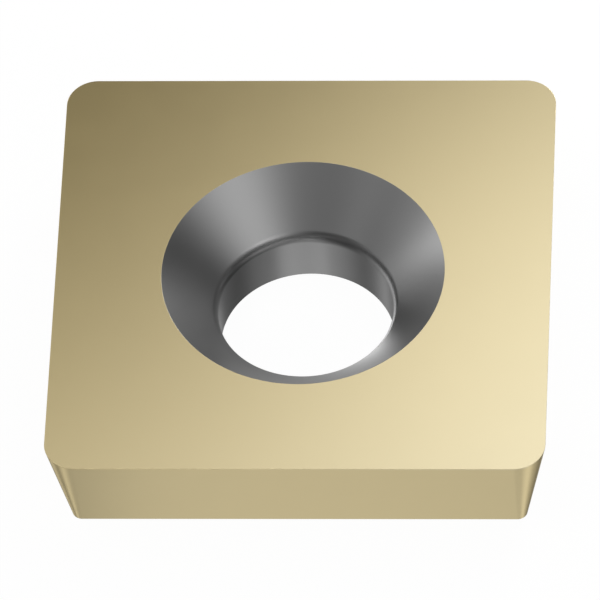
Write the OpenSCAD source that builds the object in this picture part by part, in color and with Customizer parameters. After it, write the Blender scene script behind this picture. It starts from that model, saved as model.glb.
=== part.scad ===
// Square indexable insert of cemented carbide: a pressed, sintered and ground plate with a flat
// rake face, four relieved flanks, rounded corners and a countersunk hole for its clamp screw.
// The origin is at the middle of the seat face, on the hole's axis, and +Z points up to the
// rake face. All lengths are in millimetres and all angles in degrees.

/* [Plate] */
// Width across two opposite cutting edges, which is also the inscribed circle
edge_width = 12.7; // [10:0.1:25.4]
// Height from the seat face to the rake face
thickness = 2.9; // [2.4:0.1:6.4]
// Relief angle by which each flank leans in from the vertical
relief_angle = 11; // [0:1:20]
// Radius of the four corners at the rake face
corner_radius = 0.8; // [0.2:0.1:2.4]
// Width and height of the chamfer round the seat face
seat_chamfer = 0.1; // [0.05:0.01:0.3]

/* [Screw hole] */
// Diameter of the straight bore that the clamp screw passes through
bore_d = 4.5; // [3:0.05:5.5]
// Diameter of the countersink's mouth in the rake face
countersink_d = 7.265; // [6.2:0.005:9]
// Full angle of the countersink that the screw's head bears on
countersink_angle = 88.4; // [60:0.1:100]
// Radius of the rounding where the countersink runs into the bore
throat_radius = 0.525; // [0.1:0.025:0.8]

/* [Hidden] */
$fn = 96;

// How far the hole's cutter runs past both faces, so that no skin is left over the hole
overcut = 0.5;
// How much larger the throat's circle is drawn, so that it trims both lines that run into it
trim = 0.0001;

half_width = edge_width / 2;
// Half the width at the flank's foot, where the seat chamfer starts
foot_half = half_width - (thickness - seat_chamfer) * tan(relief_angle);
seat_half = foot_half - seat_chamfer;
// Distance of each corner's axis from the two middle planes
corner_axis = half_width - corner_radius;

bore_r = bore_d / 2;
mouth_r = countersink_d / 2;
half_angle = countersink_angle / 2;
// Centre of the throat's rounding, inside the carbide, in a section through the hole's axis
throat_r = bore_r + throat_radius;
throat_z = thickness - (throat_radius + (mouth_r - throat_r) * cos(half_angle)) / sin(half_angle);
// Point where the rounding runs into the countersink
touch_r = throat_r - throat_radius * cos(half_angle);
touch_z = throat_z + throat_radius * sin(half_angle);

// Half of the plate's upright section, from the middle plane out to a flank
module half_section() {
    polygon([
        [0, 0],
        [seat_half, 0],
        [foot_half, seat_chamfer],
        [half_width, thickness],
        [0, thickness]
    ]);
}

// Bar with the plate's section, whose two long sides are opposite flanks
module flank_bar(length) {
    rotate([90, 0, 0])
        linear_extrude(height = length, center = true) {
            half_section();
            mirror([1, 0]) half_section();
        }
}

// Part of the plate between the corner axes, which ends in two opposite flanks
module flank_block() {
    intersection() {
        flank_bar(2 * corner_axis);
        rotate([0, 0, 90]) flank_bar(edge_width);
    }
}

// Quarter of a cone that carries the flanks' section round one corner
module corner_quarter() {
    rotate_extrude(angle = 90)
        intersection() {
            translate([-corner_axis, 0]) half_section();
            square([corner_radius, thickness]);
        }
}

module plate() {
    for (turn = [0, 90])
        rotate([0, 0, turn]) flank_block();
    for (turn = [0:90:270])
        rotate([0, 0, turn])
            translate([corner_axis, corner_axis, 0]) corner_quarter();
}

// Bore, rounded throat and countersink, turned from one profile
module screw_hole() {
    rotate_extrude()
        difference() {
            polygon([
                [0, -overcut],
                [bore_r, -overcut],
                [bore_r, throat_z],
                [throat_r, throat_z],
                [touch_r, touch_z],
                [mouth_r, thickness],
                [mouth_r + overcut * tan(half_angle), thickness + overcut],
                [0, thickness + overcut]
            ]);
            translate([throat_r, throat_z]) circle(r = throat_radius + trim);
        }
}

// One solid: the coated plate, with the hole's bare grey wall
module insert_body() {
    difference() {
        color("tan") plate();
        color("dimgray") screw_hole();
    }
}

insert_body();
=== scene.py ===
import math

import bpy
from mathutils import Matrix, Vector


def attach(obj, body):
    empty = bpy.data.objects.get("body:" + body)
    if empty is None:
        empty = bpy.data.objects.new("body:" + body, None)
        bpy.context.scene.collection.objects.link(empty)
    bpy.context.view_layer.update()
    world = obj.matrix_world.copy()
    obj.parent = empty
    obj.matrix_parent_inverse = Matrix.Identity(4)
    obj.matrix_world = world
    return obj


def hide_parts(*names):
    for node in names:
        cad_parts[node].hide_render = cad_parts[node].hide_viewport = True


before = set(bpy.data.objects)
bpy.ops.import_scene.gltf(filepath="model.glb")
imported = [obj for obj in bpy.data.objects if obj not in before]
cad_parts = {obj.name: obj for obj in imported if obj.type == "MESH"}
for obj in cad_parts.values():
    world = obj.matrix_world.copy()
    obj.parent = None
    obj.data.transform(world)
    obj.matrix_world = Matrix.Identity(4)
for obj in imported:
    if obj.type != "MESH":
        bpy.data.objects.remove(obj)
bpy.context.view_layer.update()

# The insert: one square plate of cemented carbide, pressed and sintered from powder, ground on its
# faces, brushed and coated. It has a flat rake face on top, four flanks that lean in by the relief
# angle, round corners, and a countersunk hole for the clamp screw that holds it in its pocket.
MM = 0.001
INSERT_SIZES = {
    "Edge width": 12.7 * MM,
    "Thickness": 2.9 * MM,
    "Relief angle": math.radians(11),
    "Corner radius": 0.8 * MM,
    "Seat chamfer": 0.1 * MM,
    "Bore diameter": 4.5 * MM,
    "Countersink diameter": 7.265 * MM,
    "Countersink angle": math.radians(88.4),
    "Throat radius": 0.525 * MM,
    # Brushing before the coating rounds every ground edge a little
    "Edge hone": 0.006 * MM,
}
# Steps round each corner, cuts along each side, and steps across each honed edge and the throat
CORNER_STEPS = 24
SIDE_STEPS = 64
HONE_STEPS = 4
THROAT_STEPS = 16
# Points nearer to each other than this are one point
SEAM = 0.0001 * MM


def add(tree, kind, values=None, **settings):
    """Adds a node with its settings, and sets or links its inputs by name or number."""
    node = tree.nodes.new(kind)
    for setting, value in settings.items():
        setattr(node, setting, value)
    for socket, value in (values or {}).items():
        if isinstance(value, bpy.types.NodeSocket):
            tree.links.new(value, node.inputs[socket])
        else:
            node.inputs[socket].default_value = value
    return node


def linear(hex_colour):
    """Turns an sRGB hex colour into the linear values that a socket takes."""
    parts = [int(hex_colour[i:i + 2], 16) / 255 for i in (1, 3, 5)]
    return [c / 12.92 if c <= 0.04045 else ((c + 0.055) / 1.055) ** 2.4 for c in parts] + [1.0]


# Titanium nitride over cemented carbide, a few thousandths of a millimetre thick, grown from vapour
# on the ground and brushed plate. The eye sees a satin pale gold metal, which stays gold where it
# is seen almost along the surface.
PAINTED_SHEEN_DEEP = "#CBB886"
PAINTED_SHEEN_PALE = "#CBC09F"
COATING_GRAZING = "#E9E1CB"
# On the rake face the gold is a painted sheen: it goes from deep at the back left to pale at the
# front right, lighter and paler where the face's reflection is brightest. The flanks have one gold:
# the rake face's at this distance off its middle
PAINTED_SHEEN_DIRECTION = (0.82, -0.57, 0.0)
PAINTED_SHEEN_SPAN = 8.0 * MM
FLANK_SHEEN_OFFSET = 2.5 * MM
# Depth below the rake face in which its painted sheen gives way to the flanks' one gold
RAKE_SHEEN_DEPTH = 0.1 * MM
COATING_ROUGHNESS = (0.29, 0.31)
COATING_CLOUD = 0.8 * MM
# Carbide grains are 0.001 mm, too fine to show, so the grain is drawn at 0.05 mm
COATING_GRAIN = 0.05 * MM
COATING_GRAIN_HEIGHT = 0.00005 * MM
# How many finer layers of noise lie over the grain
GRAIN_LAYERS = 2.0

coating = bpy.data.materials.new("vapour_grown_titanium_nitride")
coating.use_nodes = True
tree = coating.node_tree
tree.nodes.clear()
place = add(tree, "ShaderNodeTexCoord").outputs["Object"]
# Painted sheen: across the rake face the gold turns lighter and paler towards the front right,
# where its reflection is brightest; below the rake face's edge the flanks take one gold
across = add(tree, "ShaderNodeVectorMath", {0: place, 1: PAINTED_SHEEN_DIRECTION}, operation="DOT_PRODUCT")
height = add(tree, "ShaderNodeSeparateXYZ", {0: place}).outputs["Z"]
on_rake = add(tree, "ShaderNodeMapRange", {
    "Value": height,
    "From Min": INSERT_SIZES["Thickness"] - RAKE_SHEEN_DEPTH,
    "From Max": INSERT_SIZES["Thickness"],
})
painted_sheen = add(tree, "ShaderNodeMix", {
    "Factor": on_rake.outputs["Result"],
    "A": FLANK_SHEEN_OFFSET,
    "B": across.outputs["Value"],
})
painted_sheen = add(tree, "ShaderNodeMapRange", {
    "Value": painted_sheen.outputs["Result"],
    "From Min": -PAINTED_SHEEN_SPAN,
    "From Max": PAINTED_SHEEN_SPAN,
})
gold = add(tree, "ShaderNodeMix", {
    "Factor": painted_sheen.outputs["Result"],
    "A": linear(PAINTED_SHEEN_DEEP),
    "B": linear(PAINTED_SHEEN_PALE),
}, data_type="RGBA")
cloud = add(tree, "ShaderNodeTexNoise", {"Vector": place, "Scale": 1 / COATING_CLOUD})
cloud = add(tree, "ShaderNodeMapRange", {
    "Value": cloud.outputs["Fac"],
    "To Min": COATING_ROUGHNESS[0],
    "To Max": COATING_ROUGHNESS[1],
})
grain = add(tree, "ShaderNodeTexNoise", {
    "Vector": place,
    "Scale": 1 / COATING_GRAIN,
    "Detail": GRAIN_LAYERS,
})
bump = add(tree, "ShaderNodeBump", {
    "Height": grain.outputs["Fac"],
    "Distance": COATING_GRAIN_HEIGHT,
})
metal = add(tree, "ShaderNodeBsdfPrincipled", {
    "Base Color": gold.outputs["Result"],
    "Specular Tint": linear(COATING_GRAZING),
    "Metallic": 1.0,
    "Roughness": cloud.outputs["Result"],
    "Normal": bump.outputs["Normal"],
})
add(tree, "ShaderNodeOutputMaterial", {"Surface": metal.outputs["BSDF"]})

# Bare cemented carbide in the hole, which is masked from the coating: sintered, and only ground
# where the screw bears. The eye sees a neutral grey satin metal, darker than the coated faces.
BARE_GREY = "#959595"
BARE_ROUGHNESS = (0.29, 0.31)
BARE_CLOUD = 0.8 * MM
# Drawn coarser than the real 0.001 mm, as on the coating
BARE_GRAIN = 0.05 * MM
BARE_GRAIN_HEIGHT = 0.00005 * MM

bare = bpy.data.materials.new("bare_cemented_carbide")
bare.use_nodes = True
tree = bare.node_tree
tree.nodes.clear()
place = add(tree, "ShaderNodeTexCoord").outputs["Object"]
cloud = add(tree, "ShaderNodeTexNoise", {"Vector": place, "Scale": 1 / BARE_CLOUD})
cloud = add(tree, "ShaderNodeMapRange", {
    "Value": cloud.outputs["Fac"],
    "To Min": BARE_ROUGHNESS[0],
    "To Max": BARE_ROUGHNESS[1],
})
grain = add(tree, "ShaderNodeTexNoise", {
    "Vector": place,
    "Scale": 1 / BARE_GRAIN,
    "Detail": GRAIN_LAYERS,
})
bump = add(tree, "ShaderNodeBump", {"Height": grain.outputs["Fac"], "Distance": BARE_GRAIN_HEIGHT})
metal = add(tree, "ShaderNodeBsdfPrincipled", {
    "Base Color": linear(BARE_GREY),
    "Metallic": 1.0,
    "Roughness": cloud.outputs["Result"],
    "Normal": bump.outputs["Normal"],
})
add(tree, "ShaderNodeOutputMaterial", {"Surface": metal.outputs["BSDF"]})

# The insert's form follows one rule: the section through the middle of a side is turned round the
# hole on its inner part, and carried round the rounded square outline on its outer part.
tree = bpy.data.node_groups.new("insert_form", "GeometryNodeTree")
for name in INSERT_SIZES:
    tree.interface.new_socket(name, in_out="INPUT", socket_type="NodeSocketFloat")
tree.interface.new_socket("Insert", in_out="OUTPUT", socket_type="NodeSocketGeometry")
size = add(tree, "NodeGroupInput").outputs
length = {name: size[name] for name in INSERT_SIZES}

# Lengths that follow from the named sizes, each from one or two before it
for name, first, operation, second in (
    ("half width", "Edge width", "MULTIPLY", 0.5),
    ("flank height", "Thickness", "SUBTRACT", "Seat chamfer"),
    ("lean", "Relief angle", "TANGENT", 0.0),
    ("relief", "flank height", "MULTIPLY", "lean"),
    ("foot half", "half width", "SUBTRACT", "relief"),
    ("seat half", "foot half", "SUBTRACT", "Seat chamfer"),
    ("corner axis", "half width", "SUBTRACT", "Corner radius"),
    ("bore radius", "Bore diameter", "MULTIPLY", 0.5),
    ("mouth radius", "Countersink diameter", "MULTIPLY", 0.5),
    ("half angle", "Countersink angle", "MULTIPLY", 0.5),
    ("flare", "half angle", "TANGENT", 0.0),
    ("cone width", "mouth radius", "SUBTRACT", "bore radius"),
    ("cone depth", "cone width", "DIVIDE", "flare"),
    ("throat height", "Thickness", "SUBTRACT", "cone depth"),
    ("mouth to edge", "mouth radius", "ADD", "half width"),
    ("rake middle", "mouth to edge", "MULTIPLY", 0.5),
):
    length[name] = add(tree, "ShaderNodeMath", {
        0: length[first],
        1: length.get(second, second),
    }, operation=operation).outputs[0]

# Section corners from the bore's foot round to the seat: distance out, height above the seat (none
# at the seat itself), rounding and steps
section_corners = [
    ("bore radius", None, "Edge hone", HONE_STEPS),
    ("bore radius", "throat height", "Throat radius", THROAT_STEPS),
    ("mouth radius", "Thickness", "Edge hone", HONE_STEPS),
    ("half width", "Thickness", "Edge hone", HONE_STEPS),
    ("foot half", "Seat chamfer", "Edge hone", HONE_STEPS),
    ("seat half", None, "Edge hone", HONE_STEPS),
]
number = add(tree, "GeometryNodeInputIndex").outputs["Index"]
corner = add(tree, "GeometryNodeIndexSwitch", {"Index": number}, data_type="VECTOR")
rounding = add(tree, "GeometryNodeIndexSwitch", {"Index": number}, data_type="FLOAT")
turns = add(tree, "GeometryNodeIndexSwitch", {"Index": number}, data_type="INT")
for switch in (corner, rounding, turns):
    for _ in section_corners[2:]:
        switch.index_switch_items.new()
for i, (out, up, radius, steps) in enumerate(section_corners):
    point = add(tree, "ShaderNodeCombineXYZ", {"X": length[out], "Z": length.get(up, 0.0)})
    tree.links.new(point.outputs["Vector"], corner.inputs[i + 1])
    tree.links.new(length[radius], rounding.inputs[i + 1])
    turns.inputs[i + 1].default_value = steps
line = add(tree, "GeometryNodeMeshLine", {"Count": len(section_corners)})
line = add(tree, "GeometryNodeSetPosition", {0: line.outputs[0], "Position": corner.outputs[0]})
section = add(tree, "GeometryNodeMeshToCurve", {"Mesh": line.outputs[0]})
section = add(tree, "GeometryNodeSetSplineCyclic", {0: section.outputs[0], "Cyclic": True})
section = add(tree, "GeometryNodeFilletCurve", {
    "Curve": section.outputs[0],
    "Radius": rounding.outputs[0],
    "Count": turns.outputs[0],
}, mode="POLY").outputs[0]

# Outline of the rake face. A corner has one point more than it has steps, and its last point is
# where the next long side starts, which is cut into steps of its own
outline = add(tree, "GeometryNodeCurvePrimitiveQuadrilateral", {
    "Width": size["Edge width"],
    "Height": size["Edge width"],
})
outline = add(tree, "GeometryNodeFilletCurve", {
    "Curve": outline.outputs[0],
    "Radius": size["Corner radius"],
    "Count": CORNER_STEPS,
}, mode="POLY")
step = add(tree, "FunctionNodeIntegerMath", {0: number, 1: CORNER_STEPS + 1}, operation="MODULO")
side = add(tree, "FunctionNodeCompare", {
    "A": step.outputs[0],
    "B": CORNER_STEPS,
}, data_type="INT", operation="EQUAL")
cuts = add(tree, "GeometryNodeSwitch", {
    "Switch": side.outputs[0],
    "True": SIDE_STEPS,
}, input_type="INT")
outline = add(tree, "GeometryNodeSubdivideCurve", {
    "Curve": outline.outputs[0],
    "Cuts": cuts.outputs[0],
}).outputs[0]

# A grid with one column for each outline point and one row for each section point, and one more
# of each, which closes the form on itself
columns = add(tree, "GeometryNodeAttributeDomainSize", {0: outline}, component="CURVE").outputs[0]
rows = add(tree, "GeometryNodeAttributeDomainSize", {0: section}, component="CURVE").outputs[0]
grid_columns = add(tree, "FunctionNodeIntegerMath", {0: columns, 1: 1})
grid_rows = add(tree, "FunctionNodeIntegerMath", {0: rows, 1: 1})
grid = add(tree, "GeometryNodeMeshGrid", {
    "Vertices X": grid_columns.outputs[0],
    "Vertices Y": grid_rows.outputs[0],
})
at_column = add(tree, "FunctionNodeIntegerMath", {
    0: number,
    1: grid_rows.outputs[0],
}, operation="DIVIDE_FLOOR")
at_row = add(tree, "FunctionNodeIntegerMath", {
    0: number,
    1: grid_rows.outputs[0],
}, operation="MODULO")
at_column = add(tree, "FunctionNodeIntegerMath", {
    0: at_column.outputs[0],
    1: columns,
}, operation="MODULO")
at_row = add(tree, "FunctionNodeIntegerMath", {0: at_row.outputs[0], 1: rows}, operation="MODULO")
position = add(tree, "GeometryNodeInputPosition").outputs[0]
rim = add(tree, "GeometryNodeSampleIndex", {
    "Geometry": outline,
    "Value": position,
    "Index": at_column.outputs[0],
}, data_type="FLOAT_VECTOR").outputs[0]
level = add(tree, "GeometryNodeSampleIndex", {
    "Geometry": section,
    "Value": position,
    "Index": at_row.outputs[0],
}, data_type="FLOAT_VECTOR").outputs[0]
level = add(tree, "ShaderNodeSeparateXYZ", {0: level}).outputs

# Outer part: out from the square of the corner axes, square to the outline
inner_corner = add(tree, "ShaderNodeCombineXYZ", {
    "X": length["corner axis"],
    "Y": length["corner axis"],
}).outputs[0]
inner_low = add(tree, "ShaderNodeVectorMath", {0: inner_corner, "Scale": -1.0}, operation="SCALE")
core = add(tree, "ShaderNodeVectorMath", {0: rim, 1: inner_corner}, operation="MINIMUM")
core = add(tree, "ShaderNodeVectorMath", {
    0: core.outputs[0],
    1: inner_low.outputs[0],
}, operation="MAXIMUM").outputs[0]
outward = add(tree, "ShaderNodeVectorMath", {0: rim, 1: core}, operation="SUBTRACT")
outward = add(tree, "ShaderNodeVectorMath", {0: outward.outputs[0]}, operation="NORMALIZE")
beyond = add(tree, "ShaderNodeMath", {
    0: level["X"],
    1: length["corner axis"],
}, operation="SUBTRACT")
outer = add(tree, "ShaderNodeVectorMath", {
    0: outward.outputs[0],
    "Scale": beyond.outputs[0],
}, operation="SCALE")
outer = add(tree, "ShaderNodeVectorMath", {0: outer.outputs[0], 1: core}).outputs[0]

# Inner part: a circle round the hole's axis
radial = add(tree, "ShaderNodeVectorMath", {0: rim}, operation="NORMALIZE")
inner = add(tree, "ShaderNodeVectorMath", {
    0: radial.outputs[0],
    "Scale": level["X"],
}, operation="SCALE").outputs[0]

inside = add(tree, "ShaderNodeMath", {
    0: level["X"],
    1: length["rake middle"],
}, operation="LESS_THAN")
form = add(tree, "GeometryNodeSwitch", {
    "Switch": inside.outputs[0],
    "False": outer,
    "True": inner,
}, input_type="VECTOR").outputs[0]
lift = add(tree, "ShaderNodeCombineXYZ", {"Z": level["Z"]}).outputs[0]
form = add(tree, "ShaderNodeVectorMath", {0: form, 1: lift}).outputs[0]
insert = add(tree, "GeometryNodeSetPosition", {0: grid.outputs["Mesh"], "Position": form})
insert = add(tree, "GeometryNodeMergeByDistance", {0: insert.outputs[0], "Distance": SEAM})
insert = add(tree, "GeometryNodeFlipFaces", {0: insert.outputs[0]})

# The hole's wall is every face that lies nearer to the axis than the countersink's mouth
upright = add(tree, "ShaderNodeVectorMath", {0: position, 1: (1.0, 1.0, 0.0)}, operation="MULTIPLY")
reach = add(tree, "ShaderNodeVectorMath", {0: upright.outputs[0]}, operation="LENGTH")
in_hole = add(tree, "ShaderNodeMath", {
    0: reach.outputs["Value"],
    1: length["mouth radius"],
}, operation="LESS_THAN")
insert = add(tree, "GeometryNodeRealizeInstances", {0: insert.outputs[0]})
insert = add(tree, "GeometryNodeSetMaterial", {0: insert.outputs[0], "Material": coating})
insert = add(tree, "GeometryNodeSetMaterial", {
    0: insert.outputs[0],
    "Selection": in_hole.outputs[0],
    "Material": bare,
})
add(tree, "NodeGroupOutput", {"Insert": insert.outputs[0]})

maker = bpy.data.objects.new("insert_maker", bpy.data.meshes.new("insert_maker"))
bpy.context.collection.objects.link(maker)
shaper = maker.modifiers.new("form", "NODES")
shaper.node_group = tree
for socket in tree.interface.items_tree:
    if socket.in_out == "INPUT":
        shaper[socket.identifier] = INSERT_SIZES[socket.name]
made = maker.evaluated_get(bpy.context.evaluated_depsgraph_get())
plate = bpy.data.objects.new("coated_plate", bpy.data.meshes.new_from_object(made))
# The first slot came with the grid, and it is empty
plate.data.materials.pop(index=0)
bpy.data.objects.remove(maker)
bpy.context.collection.objects.link(plate)
plate.data.shade_smooth()

# Each point takes its direction of light from the widest faces round it, so that flat faces stay
# flat to the eye right up to their narrow honed edges
facing = [Vector() for _ in plate.data.vertices]
for face in plate.data.polygons:
    for point in face.vertices:
        facing[point] += face.normal * (face.area / MM ** 2) ** 2
plate.data.normals_split_custom_set_from_vertices([total.normalized() for total in facing])
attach(plate, "root")
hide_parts("insert_body")

# Floor of the studio: a pale sheet of paper that runs out of view. The camera sees it white, with
# the insert's faint shadow, and from below it lets the eye through. The metal doesn't see it, and
# it doesn't block what stands below it.
STUDIO_WHITE = "#FFFFFF"
FLOOR_PALE = "#F8F8F8"
# Share of the floor's look that is lit paper, which shows the shadow
FLOOR_SHADE = 0.03
FLOOR_HALF = 500 * MM
# How far it lies below the seat face, so that the two never share a plane
FLOOR_DROP = 0.01 * MM

floor_mesh = bpy.data.meshes.new("floor")
floor_mesh.from_pydata([
    (-FLOOR_HALF, -FLOOR_HALF, -FLOOR_DROP),
    (FLOOR_HALF, -FLOOR_HALF, -FLOOR_DROP),
    (FLOOR_HALF, FLOOR_HALF, -FLOOR_DROP),
    (-FLOOR_HALF, FLOOR_HALF, -FLOOR_DROP),
], [], [(0, 1, 2, 3)])
floor = bpy.data.objects.new("floor", floor_mesh)
bpy.context.collection.objects.link(floor)
floor.visible_glossy = False
floor.visible_shadow = False
paper = bpy.data.materials.new("white_studio_paper")
paper.use_nodes = True
tree = paper.node_tree
tree.nodes.clear()
ray = add(tree, "ShaderNodeLightPath").outputs
lit = add(tree, "ShaderNodeBsdfDiffuse", {"Color": linear(FLOOR_PALE)})
white = add(tree, "ShaderNodeEmission", {"Color": linear(STUDIO_WHITE), "Strength": 1.0})
seen = add(tree, "ShaderNodeMath", {
    0: ray["Is Camera Ray"],
    1: ray["Is Transmission Ray"],
}, operation="MAXIMUM")
seen = add(tree, "ShaderNodeMath", {
    0: seen.outputs[0],
    1: 1 - FLOOR_SHADE,
}, operation="MULTIPLY")
shown = add(tree, "ShaderNodeMixShader", {
    0: seen.outputs[0],
    1: lit.outputs[0],
    2: white.outputs[0],
})
back = add(tree, "ShaderNodeNewGeometry").outputs["Backfacing"]
clear = add(tree, "ShaderNodeBsdfTransparent")
shown = add(tree, "ShaderNodeMixShader", {0: back, 1: shown.outputs[0], 2: clear.outputs[0]})
add(tree, "ShaderNodeOutputMaterial", {"Surface": shown.outputs[0]})
floor_mesh.materials.append(paper)

# Studio round the insert: white to the camera, while the metal sees soft round cards with the dark
# room between them. The flanks and corners see those below, the bore those that stand level, and
# the countersink those above. They were fitted to the photograph's reflections, then rounded.
#
# For each card: its bearing in degrees, from the right round by the back, its height in degrees,
# how far it spreads in degrees, and how bright it is beside white.
CARDS = {
    "above": (
        (-170, 70, 10, 3.2),
        (-150, 50, 10, 1.9),
        (-105, 55, 15, 0.65),
        (-55, 30, 15, 0.75),
        (-15, 50, 10, 1),
    ),
    "level": (
        (-165, 0, 10, 1.1),
        (-95, -20, 15, 0.45),
        (-95, -10, 5, 8.4),
        (-45, 0, 15, 1.8),
        (-30, 10, 20, 1.1),
        (45, -10, 20, 0.15),
        (70, 15, 10, 6),
        (120, -10, 10, 7),
        (155, -15, 15, 1),
        (155, 15, 10, 1.1),
        (160, -5, 30, 0.7),
    ),
    "below": (
        (-170, -70, 5, 1.7),
        (-140, -50, 10, 0.35),
        (-120, -75, 5, 0.85),
        (-115, -50, 10, 0.55),
        (-70, -50, 10, 0.5),
        (-25, -70, 10, 1.2),
        (0, -70, 5, 0.7),
        (35, -65, 5, 0.65),
        (50, -45, 15, 0.2),
        (75, -55, 5, 0.6),
        (90, -35, 10, 0.2),
        (115, -25, 10, 0.95),
        (140, -60, 5, 1.3),
    ),
}
world = bpy.data.worlds.new("studio")
bpy.context.scene.world = world
world.use_nodes = True
tree = world.node_tree
tree.nodes.clear()
ray = add(tree, "ShaderNodeLightPath").outputs
looking = add(tree, "ShaderNodeTexCoord").outputs["Generated"]
glow = 0.0
for ring in CARDS.values():
    for bearing, height, spread, bright in ring:
        towards = Matrix.Rotation(math.radians(bearing), 3, "Z") @ Vector((
            math.cos(math.radians(height)),
            0.0,
            math.sin(math.radians(height)),
        ))
        # A card is brightest at its middle and fades as a bell curve
        tight = 1 / math.radians(spread) ** 2
        near = add(tree, "ShaderNodeVectorMath", {0: looking, 1: towards}, operation="DOT_PRODUCT")
        near = add(tree, "ShaderNodeMath", {
            0: near.outputs["Value"],
            1: tight,
            2: -tight,
        }, operation="MULTIPLY_ADD")
        near = add(tree, "ShaderNodeMath", {0: near.outputs[0]}, operation="EXPONENT")
        glow = add(tree, "ShaderNodeMath", {
            0: near.outputs[0],
            1: bright,
            2: glow,
        }, operation="MULTIPLY_ADD").outputs[0]
room = add(tree, "ShaderNodeBackground", {"Color": linear(STUDIO_WHITE), "Strength": glow})
white = add(tree, "ShaderNodeBackground", {"Color": linear(STUDIO_WHITE), "Strength": 1.0})
seen = add(tree, "ShaderNodeMath", {
    0: ray["Is Camera Ray"],
    1: ray["Is Transmission Ray"],
}, operation="MAXIMUM")
shown = add(tree, "ShaderNodeMixShader", {
    0: seen.outputs[0],
    1: room.outputs[0],
    2: white.outputs[0],
})
add(tree, "ShaderNodeOutputWorld", {"Surface": shown.outputs[0]})

# Soft round lamps close to the insert, aimed at its hole: four behind and over it, and a weak one
# low in front. For each: its place and width in millimetres, and how bright it looks beside white.
LAMP_AIM = Vector((0.0, 0.0, 2.0)) * MM
LAMPS = {
    "right_back_lamp": ((23, 40, 23), 20, 9),
    "back_lamp": ((12, 22, 52), 44, 1.5),
    "left_back_lamp": ((-15, 24, 51), 18, 1),
    "low_front_lamp": ((1, -12, -18), 16, 0.4),
    "near_lamp": ((5, 23, 35), 12, 0.35),
}
for name, (spot, width, bright) in LAMPS.items():
    panel = bpy.data.lights.new(name, "AREA")
    panel.shape = "DISK"
    panel.size = width * MM
    # A disk that looks as bright as white sends out pi watts for each square metre
    disk_area = math.pi * (panel.size / 2) ** 2
    panel.energy = bright * math.pi * disk_area
    lamp = bpy.data.objects.new(name, panel)
    lamp.location = Vector(spot) * MM
    lamp.rotation_euler = (lamp.location - LAMP_AIM).to_track_quat("Z", "Y").to_euler()
    lamp.visible_camera = False
    bpy.context.collection.objects.link(lamp)

# Camera at the photograph's place: a long lens that looks down on the insert from the front. The
# angles are how far it looks down, how far it is turned to the left, and how far it is tilted.
CAMERA_DOWN = math.radians(51.504)
CAMERA_TURN = math.radians(5.792)
CAMERA_ROLL = math.radians(-4.553)
CAMERA_PLACE = Vector((17.011, -168.99, 215.319)) * MM
# Focal length in millimetres, on the camera's own 36 mm sensor
CAMERA_LENS = 637.74

camera = bpy.data.objects.new("camera", bpy.data.cameras.new("camera"))
camera.matrix_world = (
    Matrix.Translation(CAMERA_PLACE)
    @ Matrix.Rotation(CAMERA_TURN, 4, "Z")
    @ Matrix.Rotation(math.pi / 2 - CAMERA_DOWN, 4, "X")
    @ Matrix.Rotation(CAMERA_ROLL, 4, "Z")
)
camera.data.lens = CAMERA_LENS
bpy.context.collection.objects.link(camera)
bpy.context.scene.camera = camera
bpy.context.scene.view_settings.view_transform = "Standard"
